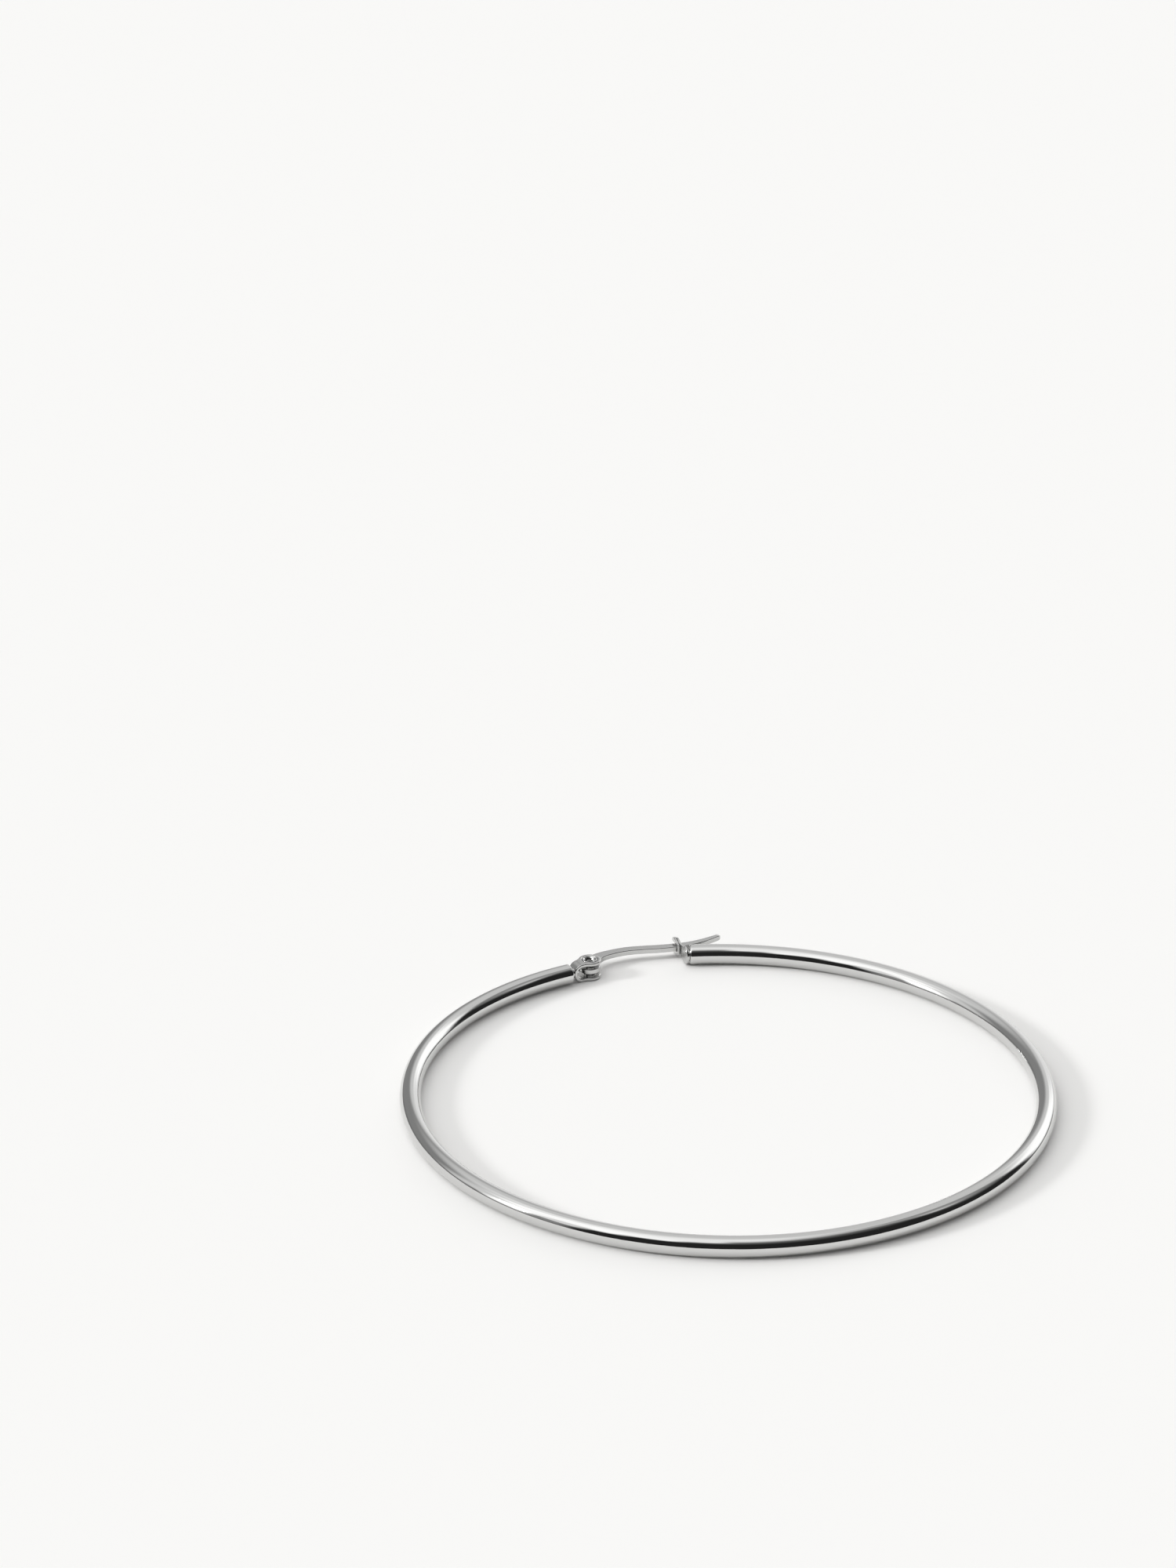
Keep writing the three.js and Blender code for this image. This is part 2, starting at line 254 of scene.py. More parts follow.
def strip(
    path: Array,
    across: Array,
    low: Array,
    high: Array,
    half: Array,
    radius: float,
    ends: tuple[bool, bool] = (True, True),
) -> Surface:
    """Carries a rounded rectangle along a path, as a flat strip of metal.

    At each point of the path the rectangle reaches from `low` to `high` along `across`, and `half` to each
    side of the path along the normal, which is square to the path and to `across`. At a finished end the
    rectangle draws in by one corner radius over one corner radius of path, as a quarter circle, so that the
    end's edge is round too.

    Args:
        path: the middle of the strip, one row a point.
        across: the direction of the strip's width, one row a point or a single one.
        low: the strip's lower edge at each point of the path.
        high: its upper edge.
        half: half its thickness.
        radius: the corner radius.
        ends: whether the first and the last end are finished round.

    Returns:
        The closed surface.
    """
    count = len(path)
    along = unit(np.gradient(path, axis=0))
    across = np.broadcast_to(np.asarray(across, float), path.shape)
    normal = unit(np.cross(along, across))
    low, high, half = (np.broadcast_to(np.asarray(v, float), (count,)) for v in (low, high, half))
    turn = np.linspace(0, math.pi / 2, 6)[1:]
    rows = [np.arange(count)]
    inset = [np.zeros(count)]
    reach = [np.zeros(count)]
    if ends[0]:
        rows.insert(0, np.zeros(len(turn), int))
        inset.insert(0, radius * (1 - np.cos(turn))[::-1])
        reach.insert(0, -radius * np.sin(turn)[::-1])
    if ends[1]:
        rows.append(np.full(len(turn), count - 1))
        inset.append(radius * (1 - np.cos(turn)))
        reach.append(radius * np.sin(turn))
    row, inset, reach = np.concatenate(rows), np.concatenate(inset), np.concatenate(reach)
    signs, offsets, shine = rounded_section()
    middle = path[row] + along[row] * reach[:, None]
    bottom = low[row] + inset
    top = np.maximum(high[row] - inset, bottom + THINNEST)
    thick = half[row] - inset
    corner = np.minimum(np.minimum(radius, (top - bottom) / 2 * NEARLY), thick * NEARLY)[:, None]
    width = (top + bottom)[:, None] / 2 + signs[:, 0] * (top - bottom)[:, None] / 2 + offsets[:, 0] * corner
    depth = signs[:, 1] * thick[:, None] + offsets[:, 1] * corner
    sideways = width[..., None] * across[row][:, None]
    points = middle[:, None] + sideways + depth[..., None] * normal[row][:, None]
    uv = beside(way_along(middle)[:, None], width + depth)
    polish = np.clip(shine + (inset > 0)[:, None], 0, 1)
    return loft(points, uv, polish, ring_closed=False)


def holed_plate(
    outline: Array, centre: Array, holes: tuple[float, float], half: float, radius: float, level: float
) -> Surface:
    """Makes a flat plate with a round hole, as a ring of sections round the hole.

    For each direction from the hole's middle, the section is a rectangle with round corners, from the
    hole's wall to the outline, whose distance in that direction is read off the outline's points.

    Args:
        outline: the plate's closed outline, one row a point, which every ray from the hole's middle crosses
            once.
        centre: the hole's middle.
        holes: the hole's radius at the plate's upper face and at its lower one.
        half: half the plate's thickness.
        radius: the corner radius.
        level: the height of the plate's middle.

    Returns:
        The closed surface, in the outline's plane and `level` above it.
    """
    from_centre = outline - centre
    angle = np.arctan2(from_centre[:, 1], from_centre[:, 0])
    order = np.argsort(angle)
    ray = np.linspace(-math.pi, math.pi, RAYS, endpoint=False)
    reach = np.interp(ray, angle[order], np.linalg.norm(from_centre, axis=1)[order], period=2 * math.pi)
    signs, offsets, shine = rounded_section()
    hole = np.where(signs[:, 1] > 0, *holes)
    corner = np.minimum(radius, (reach - max(holes)) / 2 * NEARLY)[:, None]
    middle = (reach[:, None] + hole) / 2
    out = middle + signs[:, 0] * (reach[:, None] - hole) / 2 + offsets[:, 0] * corner
    depth = level + signs[:, 1] * half + offsets[:, 1] * corner
    place = centre + out[..., None] * circle(ray)[:, None]
    points = np.concatenate([place, depth[..., None]], -1)
    polish = np.broadcast_to(shine, out.shape).copy()
    return loft(points, place.copy(), polish, ring_closed=True)


def pipe_wall(place: Array, out: Array, height: Array, radius: Array, sides: int) -> Surface:
    """Carries a circle of changing radius along a path and back inside itself, as the wall of a pipe.

    Each ring is the path's point plus the radius times the cosine of the way round along `out`, plus the
    radius times its sine along `height`.

    Args:
        place: the middle of each ring, going along the outside and coming back along the inside.
        out: the first direction of each ring.
        height: the second direction of each ring.
        radius: the radius of each ring.
        sides: how many points a ring has.

    Returns:
        The closed surface.
    """
    way = np.linspace(0, 2 * math.pi, sides, endpoint=False)
    spoke = np.cos(way)[:, None] * out[:, None] + np.sin(way)[:, None] * height[:, None]
    points = place[:, None] + radius[:, None, None] * spoke
    uv = beside(way_along(place)[:, None], way * radius.max())
    return loft(points, uv, np.ones(points.shape[:2]), ring_closed=True)


# ------------------------------------------------------------------ finishes


class Slot(Enum):
    """The record's material slots."""

    POLISHED = "polished_steel"
    SATIN = "satin_steel"


class NodeWriter:
    """Adds nodes to a material's or world's tree, with short calls."""

    def __init__(self, tree: bpy.types.NodeTree) -> None:
        """Keeps the tree that the nodes go into."""
        self.tree = tree

    def add(self, kind: str, inputs: dict | None = None, **settings: object) -> bpy.types.Node:
        """Adds a node.

        Args:
            kind: the node's type.
            inputs: for each input, by name or number, a value or the socket that feeds it.
            settings: the node's own properties.

        Returns:
            The node.
        """
        node = self.tree.nodes.new(kind)
        for name, value in settings.items():
            setattr(node, name, value)
        for key, value in (inputs or {}).items():
            if isinstance(value, bpy.types.NodeSocket):
                self.tree.links.new(value, node.inputs[key])
            else:
                node.inputs[key].default_value = value
        return node

    def math(self, operation: str, *values: object) -> bpy.types.NodeSocket:
        """Adds a Math node and returns its result."""
        return self.add("ShaderNodeMath", dict(enumerate(values)), operation=operation).outputs[0]

    def step(
        self, value: object, low: float, high: float, to_low: float = 0.0, to_high: float = 1.0
    ) -> bpy.types.NodeSocket:
        """Maps a value smoothly from one range to another and returns the result."""
        inputs = {"Value": value, "From Min": low, "From Max": high, "To Min": to_low, "To Max": to_high}
        return self.add("ShaderNodeMapRange", inputs, interpolation_type="SMOOTHSTEP").outputs["Result"]

    def streaks(
        self, unrolled: bpy.types.NodeSocket, along: float, across: float, detail: float, turn: float = 0.0
    ) -> bpy.types.NodeSocket:
        """Adds noise that is drawn out into streaks on a piece's unrolled surface.

        Args:
            unrolled: the place on the unrolled surface, in millimetres.
            along: how fast the noise changes along the streaks.
            across: how fast it changes across them.
            detail: how many finer layers it has.
            turn: how far the streaks are turned from the long way of the surface, in radians.

        Returns:
            The noise, from 0 to 1.
        """
        drawn = {"Vector": unrolled, "Rotation": (0.0, 0.0, turn), "Scale": (along, across, 1.0)}
        noise = {"Vector": self.add("ShaderNodeMapping", drawn).outputs[0], "Scale": 1.0, "Detail": detail}
        return self.add("ShaderNodeTexNoise", noise).outputs[0]


@dataclass(frozen=True)
class Steel:
    """A steel finish.

    Args:
        slot: the record's slot, whose name the material gets.
        colour: how much red, green and blue it reflects head on.
        face_roughness: roughness of a satin face.
        edge_roughness: roughness of a polished edge.
        grain: how deep the fine grain of the satin is, in micrometres.
        ripple: how deep the drawn ripple of polished metal is, in micrometres.
        scratch: how deep the handling marks are, in micrometres.
        mark_roughness: how much rougher a handling mark is.
        dull: the colour in the duller clouds, as a share of the full colour.
    """

    slot: Slot
    colour: tuple[float, float, float]
    face_roughness: float
    edge_roughness: float
    grain: float
    ripple: float
    scratch: float
    mark_roughness: float = 0.05
    dull: float = 0.9

    def material(self) -> bpy.types.Material:
        """Builds the material.

        Fine lines and a slower ripple run the long way of each piece's unrolled surface. Sparse handling
        marks cross them, and a slow cloudiness changes the roughness and the colour a little. Edges that
        are polished, by the mesh's own attribute, lose the grain.

        Returns:
            The material.
        """
        made = bpy.data.materials.new(self.slot.value)
        made.use_nodes = True
        write = NodeWriter(made.node_tree)
        shader = made.node_tree.nodes["Principled BSDF"]
        shader.inputs["Metallic"].default_value = 1.0
        unrolled = write.add("ShaderNodeUVMap", uv_map="unrolled").outputs["UV"]
        where = write.add("ShaderNodeTexCoord").outputs["Object"]
        polish = write.add("ShaderNodeAttribute", attribute_name="polish").outputs["Fac"]
        marks = write.streaks(unrolled, along=1.3, across=34.0, detail=2.0, turn=0.6)
        marks = write.step(marks, 0.66, 0.76)
        clouds = write.add("ShaderNodeTexNoise", {"Vector": where, "Scale": 420.0, "Detail": 3.0}).outputs[0]
        ends = {"Value": polish, "To Min": self.face_roughness, "To Max": self.edge_roughness}
        plain = write.add("ShaderNodeMapRange", ends).outputs["Result"]
        clouded = write.math("MULTIPLY", plain, write.step(clouds, 0.3, 0.7, 0.85, 1.2))
        rough = write.math("ADD", clouded, write.math("MULTIPLY", marks, self.mark_roughness))
        write.tree.links.new(rough, shader.inputs["Roughness"])
        tone = write.step(clouds, 0.25, 0.75, 0.96, 1.0)
        colour = write.add("ShaderNodeMix", {"Factor": tone}, data_type="RGBA")
        duller, full = colour.inputs[6], colour.inputs[7]
        duller.default_value = (*(self.dull * c for c in self.colour), 1.0)
        full.default_value = (*self.colour, 1.0)
        write.tree.links.new(colour.outputs[2], shader.inputs["Base Color"])
        satin = write.math("SUBTRACT", 1.0, polish)
        lines = write.streaks(unrolled, along=0.9, across=26.0, detail=4.0)
        grain = write.math("MULTIPLY", write.math("MULTIPLY", lines, satin), self.grain * MICRON)
        waves = write.streaks(unrolled, along=0.3, across=7.0, detail=3.0)
        ripple = write.math("MULTIPLY", waves, self.ripple * MICRON)
        dent = write.math("MULTIPLY", marks, -self.scratch * MICRON)
        height = write.math("ADD", write.math("ADD", grain, ripple), dent)
        bump = write.add("ShaderNodeBump", {"Height": height, "Strength": 1.0, "Distance": 1.0})
        write.tree.links.new(bump.outputs["Normal"], shader.inputs["Normal"])
        return made


POLISHED = Steel(Slot.POLISHED, (0.66, 0.66, 0.655), 0.06, 0.06, 0.0, 1.2, 0.4)
SATIN = Steel(Slot.SATIN, (0.58, 0.58, 0.575), 0.21, 0.1, 0.7, 0.5, 0.4)


# ------------------------------------------------------------------ places on the hoop


@dataclass
class Layout:
    """Places that every sub-assembly shares, read from the frame.

    Args:
        hinge_gap: degrees from the middle of the gap to the tube's end by the hinge.
        catch_gap: degrees from the middle of the gap to its end by the catch.
        dip: how far the tube's end by the hinge is bent in towards the hoop's centre.
        dip_reach: over how many degrees of the hoop it is bent in.

    Attributes:
        centre: the hoop's centre.
        tube: the tube's outside radius.
        ring: the radius of the tube's middle line where it isn't bent in.
        start: the direction of the tube's end by the hinge, in radians from +X.
        finish: the direction of its end by the catch.
        pivot: the lever's pivot.
    """

    hinge_gap: float = 12.5
    catch_gap: float = 12.0
    dip: float = 0.42
    dip_reach: float = 40.0
    centre: Array = field(init=False)
    tube: float = field(init=False)
    ring: float = field(init=False)
    start: float = field(init=False)
    finish: float = field(init=False)
    pivot: Array = field(init=False)

    def __post_init__(self) -> None:
        """Reads the tube's box and the lever's pivot."""
        low, high = (np.array(corner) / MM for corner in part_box("hoop_tube"))
        self.tube = (high[2] - low[2]) / 2
        self.ring = (high[0] - low[0]) / 2 - self.tube
        self.centre = np.array([(low[0] + high[0]) / 2, low[1] + self.ring + self.tube, self.tube])
        self.start = math.pi / 2 + math.radians(self.hinge_gap)
        self.finish = 2.5 * math.pi - math.radians(self.catch_gap)
        joint = next(j for j in frame["record"]["behaviour"]["joints"] if j["name"] == "lever_hinge")
        self.pivot = np.array(joint["pos_m"]) / MM

    def middle(self, angle: Array) -> Array:
        """Gives the middle of the tube.

        Args:
            angle: directions from the hoop's centre in radians, from +X towards +Y and beyond.

        Returns:
            The tube's middle in each direction.
        """
        left = np.clip(1 - (angle - self.start) / math.radians(self.dip_reach), 0, 1)
        radius = self.ring - self.dip * left**2
        return self.centre + radius[:, None] * np.insert(circle(angle), 2, 0.0, axis=1)

    def basis(self, side: int) -> tuple[Array, Array, Array]:
        """Gives the frame at one end of the tube.

        Args:
            side: -1 for the hinge's end and 1 for the catch's.

        Returns:
            The end's middle, and the directions out of the tube's end and away from the hoop's centre.
        """
        angle = self.start if side < 0 else self.finish
        middle = self.middle(np.array([angle]))[0]
        slope = 2 * self.dip / math.radians(self.dip_reach) / (self.ring - self.dip)
        lean = math.atan(slope) if side < 0 else 0.0
        out = np.array([math.cos(angle - lean), math.sin(angle - lean), 0.0])
        along = np.array([-side * out[1], side * out[0], 0.0])
        return middle, along, out

    def carry(self, surface: Surface, side: int) -> Surface:
        """Carries a surface from an end's own axes, along, out and up, to its place.

        Args:
            surface: the surface in local axes.
            side: the end, as in `basis`.

        Returns:
            The same surface, in place.
        """
        origin, along, out = self.basis(side)
        up = np.array([0.0, 0.0, 1.0])
        surface.vertices = origin + surface.vertices @ np.stack([along, out, up])
        return surface.outward()


# ------------------------------------------------------------------ sub-assemblies


@dataclass
class Hoop:
    """The hollow round tube, bent to a C.

    Args:
        layout: the shared places.
        wall: the tube's wall.
        steps: rings along the outside.
        sides: points round each ring.
    """

    layout: Layout
    wall: float = 0.3
    steps: int = 900
    sides: int = 72

    def build(self) -> bpy.types.Object:
        """Builds the tube.

        The path goes along the outside from one end to the other, turns round the rim in half a circle as
        thick as the wall, comes back along the inside and turns again.

        Returns:
            The piece.
        """
        lay = self.layout
        start = lay.start
        finish = lay.finish
        rim = self.wall / 2
        rim_turn = rim / lay.ring
        turn = np.linspace(0, math.pi, 10)[1:-1]
        outside = np.linspace(start + rim_turn, finish - rim_turn, self.steps)
        inside = np.linspace(finish - rim_turn, start + rim_turn, self.steps // 5)
        far_rim = finish - rim_turn + rim_turn * np.sin(turn)
        near_rim = start + rim_turn - rim_turn * np.sin(turn)
        angle = np.concatenate([outside, far_rim, inside, near_rim])
        bend = lay.tube - rim + rim * np.cos(turn)
        radius = np.concatenate(
            [np.full(len(outside), lay.tube), bend, np.full(len(inside), lay.tube - self.wall), bend[::-1]]
        )
        middle = lay.middle(angle)
        ahead = unit(lay.middle(angle + rim_turn) - middle)
        up = np.broadcast_to([0.0, 0.0, 1.0], middle.shape)
        wall = pipe_wall(middle, np.cross(ahead, up), up, radius, self.sides)
        piece = make_piece("hoop_tube_wall", [wall], POLISHED.material())
        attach(piece, "hoop")
        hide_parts("hoop_tube")
        return piece


@dataclass
class Stem:
    """The round stem soldered into an end of the tube.

    Args:
        radius: its radius.
        depth: how far it goes into the tube.
        fillet: the corner radius of its ends.
        sides: how many points a ring has.
    """

    radius: float = 0.5
    depth: float = 1.6
    fillet: float = 0.05
    sides: int = 48

    def surface(self, reach: float) -> Surface:
        """Makes the stem in an end's own axes, from inside the tube to `reach` outside it.

        Args:
            reach: how far it comes out.

        Returns:
            The closed surface.
        """
        turn = np.linspace(0, math.pi / 2, 6)
        drawn_in = self.fillet * (1 - np.sin(turn))
        along = np.concatenate(
            [-self.depth + self.fillet * (1 - np.cos(turn)), reach - self.fillet * (1 - np.cos(turn[::-1]))]
        )
        radius = self.radius - np.concatenate([drawn_in, drawn_in[::-1]])
        way = np.linspace(0, 2 * math.pi, self.sides, endpoint=False)
        ring = np.insert(circle(way), 0, 0.0, axis=1)
        points = along[:, None, None] * np.array([1.0, 0.0, 0.0]) + radius[:, None, None] * ring
        uv = beside(along[:, None], way * self.radius)
        return loft(points, uv, np.zeros(points.shape[:2]), ring_closed=False)


@dataclass
class HingeBracket:
    """The clevis folded from one strip, with an eye in each ear, and the stem that holds it in the tube.

    Args:
        layout: the shared places.
        sheet: the strip's thickness.
        floor: from the tube's end to the outside of the fold.
        fold: the fold's outside radius.
        half_height: from the middle of the clevis to the outside of an ear.
        neck: the strip's two edges, away from the tube's axis.
        neck_length: where each of them begins to curve from the neck to the eye.
        sway_in: where the inner curve is drawn towards, along and out.
        sway_out: where the outer curve is drawn towards.
        eye: the eye's middle, along and out.
        eye_radius: its radius.
        eye_turn: the round part of the ear, in radians from the direction out of the tube.
        hole: the radius of the hole for the rivet, at the ear's outside.
        hole_inside: its radius at the ear's inside.
        edge: the corner radius of the strip.
        overlap: how far the fold runs on inside each ear.
    """

    layout: Layout
    sheet: float = 0.34
    floor: float = 0.3
    fold: float = 0.86
    half_height: float = 0.94
    neck: tuple[float, float] = (-0.55, 0.8)
    neck_length: tuple[float, float] = (1.3, 1.0)
    sway_in: tuple[float, float] = (1.58, -0.55)
    sway_out: tuple[float, float] = (1.27, 0.8)
    eye: tuple[float, float] = (2.38, 0.32)
    eye_radius: float = 1.14
    eye_turn: tuple[float, float] = (-2.05, 2.39)
    hole: float = 0.77
    hole_inside: float = 0.56
    edge: float = 0.11
    overlap: float = 0.35

    def ear_outline(self) -> Array:
        """Draws an ear: round the eye, down the swell and round the end of the neck, which the fold covers.

        Returns:
            The closed outline, in along and out.
        """
        eye = np.array(self.eye)
        turn = np.linspace(*self.eye_turn, 120)
        round_eye = eye + self.eye_radius * circle(turn)
        t = np.linspace(0, 1, 30)[:, None]
        outer_neck = np.array([self.neck_length[1], self.neck[1]])
        inner_neck = np.array([self.neck_length[0], self.neck[0]])
        outer = bow(round_eye[-1], np.array(self.sway_out), outer_neck, t)
        inner = bow(inner_neck, np.array(self.sway_in), round_eye[0], t)
        end = outer_neck + t * (inner_neck - outer_neck)
        outline = np.vstack([round_eye, outer[1:], end[1:], inner[1:-1]])
        outline[:, 0] = np.maximum(outline[:, 0], self.floor + self.fold)
        return outline

    def fold_path(self) -> Array:
        """Draws the strip's middle at the fold: in along the upper ear, round, and out along the lower.

        Returns:
            The path, in along, out and up.
        """
        middle = self.fold - self.sheet / 2
        level = self.half_height - self.fold
        corner = self.floor + self.fold
        turn = np.linspace(0, math.pi / 2, 24)
        leg = np.linspace(corner + self.overlap, corner, 6)[:-1]
        upper = beside(corner - middle * np.sin(turn), level + middle * np.cos(turn))
        straight = np.linspace(level, -level, 12)[1:-1]
        lower = (upper * [1, -1])[::-1]
        upper_leg = beside(leg, level + middle)
        lower_leg = beside(leg[::-1], -level - middle)
        side = np.vstack([upper_leg, upper, beside(corner - middle, straight), lower, lower_leg])
        return np.insert(side, 1, 0.0, axis=1)

    def build(self) -> bpy.types.Object:
        """Builds the fold, the two ears and the stem as one soldered piece.

        Returns:
            The piece.
        """
        inside = self.sheet / 2 - BURIED
        level = self.half_height - self.sheet / 2
        ears = [
            holed_plate(
                self.ear_outline(), np.array(self.eye), (self.hole, self.hole_inside)[::side],
                self.sheet / 2, self.edge, side * level,
            )
            for side in (1, -1)
        ]
        fold = strip(self.fold_path(), (0.0, 1.0, 0.0), self.neck[0], self.neck[1], inside, self.edge)
        stem = Stem().surface(self.floor + self.sheet / 2)
        surfaces = [self.layout.carry(s, -1) for s in (*ears, fold, stem)]
        piece = make_piece("hinge_bracket_folded", surfaces, SATIN.material())
        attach(piece, "hoop")
        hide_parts("hinge_bracket")
        return piece


@dataclass
class Rivet:
    """The tubular rivet, flared into the eye on both sides.

    Args:
        layout: the shared places.
        bore: the radius of its bore.
        mouth: the bore's radius at the flare's edge.
        wall: its wall.
        half_length: half its length.
        straight: how far from the middle the flare begins.
        rim_rise: how high the rim is rounded, as a share of half the wall.
        sides: how many points a ring has.
    """

    layout: Layout
    bore: float = 0.38
    mouth: float = 0.6
    wall: float = 0.14
    half_length: float = 0.91
    straight: float = 0.5
    rim_rise: float = 0.5
    sides: int = 72

    def build(self) -> bpy.types.Object:
        """Builds the rivet.

        The bore's radius is the same up to `straight` and grows from there with the square of the way.

        Returns:
            The piece.
        """
        height = np.linspace(-self.half_length, self.half_length, 81)
        flare = np.clip((np.abs(height) - self.straight) / (self.half_length - self.straight), 0, 1) ** 2
        inner = self.bore + (self.mouth - self.bore) * flare
        turn = np.linspace(0, math.pi, 8)[1:-1]
        rim = self.wall / 2
        rim_radius = inner[-1] + rim + rim * np.cos(turn)
        rim_height = self.half_length + rim * np.sin(turn) * self.rim_rise
        level = np.concatenate([height, rim_height, height[::-1], -rim_height[::-1]])
        radius = np.concatenate([inner + self.wall, rim_radius, inner[::-1], rim_radius[::-1]])
        place = self.layout.pivot + level[:, None] * np.array([0.0, 0.0, 1.0])
        out = np.broadcast_to([1.0, 0.0, 0.0], place.shape)
        side = np.broadcast_to([0.0, 1.0, 0.0], place.shape)
        wall = pipe_wall(place, out, side, radius, self.sides)
        piece = make_piece("rivet_flared", [wall], POLISHED.material())
        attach(piece, "hoop")
        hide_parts("rivet")
        return piece


@dataclass
class Catch:
    """The strip folded over at the top, with two prongs, and a round foot soldered over the tube's end.

    Args:
        layout: the shared places.
        sheet: the strip's thickness.
        rear: the middle of its long leg, along X from the hoop's centre.
        front: the middle of its short leg.
        tuck: how far the foot curls back under the tube's end.
        foot_centre: the middle of the round foot, along Y from the hoop's centre.
        foot_half_width: the foot's radius.
        straight_from: where the long leg stops curling.
        waist: the narrowest place.
        waist_half_width: half the width there.
        widest: the prongs' widest place.
        fork_half_width: half the width there.
        fold_centre: the middle of the fold at the top.
        tip_half_width: half the width at the top of the fold.
        tip_rise: how far above the fold's middle that width is reached.
        front_end: the end of the short leg.
        slot_bottom: the bottom of the slot.
        slot_half_width: half the slot's width.
        edge: the corner radius.
        overlap: how far each prong runs on inside the foot plate.
        sunk: how far the prongs' faces lie under those of the foot plate and of the bridge.
        bridge_gap: how far under the slot's bottom the round edge of the bridge begins.
    """

    layout: Layout
    sheet: float = 0.22
    rear: float = 5.84
    front: float = 5.56
    tuck: float = 0.06
    foot_centre: float = 29.4
    foot_half_width: float = 0.92
    straight_from: float = 29.2
    waist: float = 30.64
    waist_half_width: float = 0.55
    widest: float = 31.7
    fork_half_width: float = 0.82
    fold_centre: float = 32.25
    tip_half_width: float = 0.62
    tip_rise: float = 0.2
    front_end: float = 30.55
    slot_bottom: float = 30.72
    slot_half_width: float = 0.33
    edge: float = 0.07
    overlap: float = 0.3
    sunk: float = 0.003
    bridge_gap: float = 0.01

    def half_width(self, level: Array) -> Array:
        """Gives half the strip's width at each height, for the round foot, the waist and the prongs.

        Args:
            level: heights along Y from the hoop's centre.

        Returns:
            Half widths.
        """
        below = np.clip(self.foot_centre - level, 0, self.foot_half_width)
        foot = np.sqrt(self.foot_half_width**2 - below**2)
        heights = np.array([self.foot_centre, self.waist, self.widest, self.fold_centre + self.tip_rise])
        widths = np.array(
            [self.foot_half_width, self.waist_half_width, self.fork_half_width, self.tip_half_width]
        )
        i = np.clip(np.searchsorted(heights, level, side="right") - 1, 0, len(heights) - 2)
        t = np.clip((level - heights[i]) / (heights[i + 1] - heights[i]), 0, 1)
        ease = t * t * (3 - 2 * t)
        taper = widths[i] + (widths[i + 1] - widths[i]) * ease
        return np.where(level < self.foot_centre, foot, taper)

    def slot_edge(self, level: Array) -> Array:
        """Gives the slot's half width at each height: none below it, half a circle, then straight.

        Args:
            level: heights along Y from the hoop's centre.

        Returns:
            Half widths of the slot.
        """
        r = self.slot_half_width
        below = np.clip(self.slot_bottom + r - level, 0, r)
        return np.sqrt(r**2 - below**2)

    def foot_path(self, top: float) -> Array:
        """Draws the long leg from the foot's bottom to a height, curled back at the bottom.

        Args:
            top: where to stop.

        Returns:
            The path, in X, Y and Z from the hoop's centre.
        """
        turn = np.linspace(0, math.pi / 2, 40)
        bottom = self.foot_centre - self.foot_half_width
        round_part = self.foot_centre - self.foot_half_width * np.cos(turn)
        level = np.concatenate([round_part, np.linspace(self.foot_centre, top, 60)[1:]])
        curl = np.clip((self.straight_from - level) / (self.straight_from - bottom), 0, 1)
        return np.stack([self.rear + self.tuck * curl**2, level, np.zeros_like(level)], -1)

    def hairpin(self) -> Array:
        """Draws the strip from inside the foot plate up the long leg, over the fold and down the short leg.

        Returns:
            The path, in X, Y and Z from the hoop's centre.
        """
        bend = (self.rear - self.front) / 2
        middle = (self.rear + self.front) / 2
        r = self.slot_half_width
        turn = np.linspace(0, math.pi / 2, 20)
        round_bottom = self.slot_bottom + r - r * np.cos(turn)
        start = self.slot_bottom - self.overlap
        straight = np.linspace(self.slot_bottom + r, self.fold_centre, 50)[1:]
        rise = np.concatenate([[start], round_bottom, straight])
        over = np.linspace(0, math.pi, 30)[1:-1]
        top = np.array([middle, self.fold_centre]) + bend * circle(over)
        side = np.vstack([beside(self.rear, rise), top, beside(self.front, rise[:0:-1])])
        return np.insert(side, 2, 0.0, axis=1)

    def build(self) -> bpy.types.Object:
        """Builds the foot plate, the two prongs, the bridge across the short leg and the stem as one piece.

        Returns:
            The piece.
        """
        up = (0.0, 0.0, 1.0)
        half = self.sheet / 2
        foot_path = self.foot_path(self.slot_bottom)
        width = self.half_width(foot_path[:, 1])
        foot = strip(foot_path, up, -width, width, half, self.edge, ends=(False, False))
        prong_path = self.hairpin()
        outer = self.half_width(prong_path[:, 1])
        inner = self.slot_edge(prong_path[:, 1])
        prongs = [
            strip(prong_path, up, inner, outer, half - self.sunk, self.edge),
            strip(prong_path, up, -outer, -inner, half - self.sunk, self.edge),
        ]
        bridge_level = np.linspace(self.slot_bottom - self.bridge_gap, self.front_end + self.edge, 8)
        flat = np.insert(beside(self.front, bridge_level), 2, 0.0, axis=1)
        bridge_width = self.half_width(bridge_level)
        bridge = strip(flat, up, -bridge_width, bridge_width, half, self.edge)
        surfaces = [foot, *prongs, bridge]
        for surface in surfaces:
            surface.vertices = surface.vertices + self.layout.centre
        origin, along, _ = self.layout.basis(1)
        reach = (origin[0] - self.layout.centre[0] - self.rear) / -along[0]
        surfaces.append(self.layout.carry(Stem().surface(reach), 1))
        piece = make_piece("latch_catch_folded", surfaces, SATIN.material())
        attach(piece, "hoop")
        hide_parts("latch_catch")
        return piece


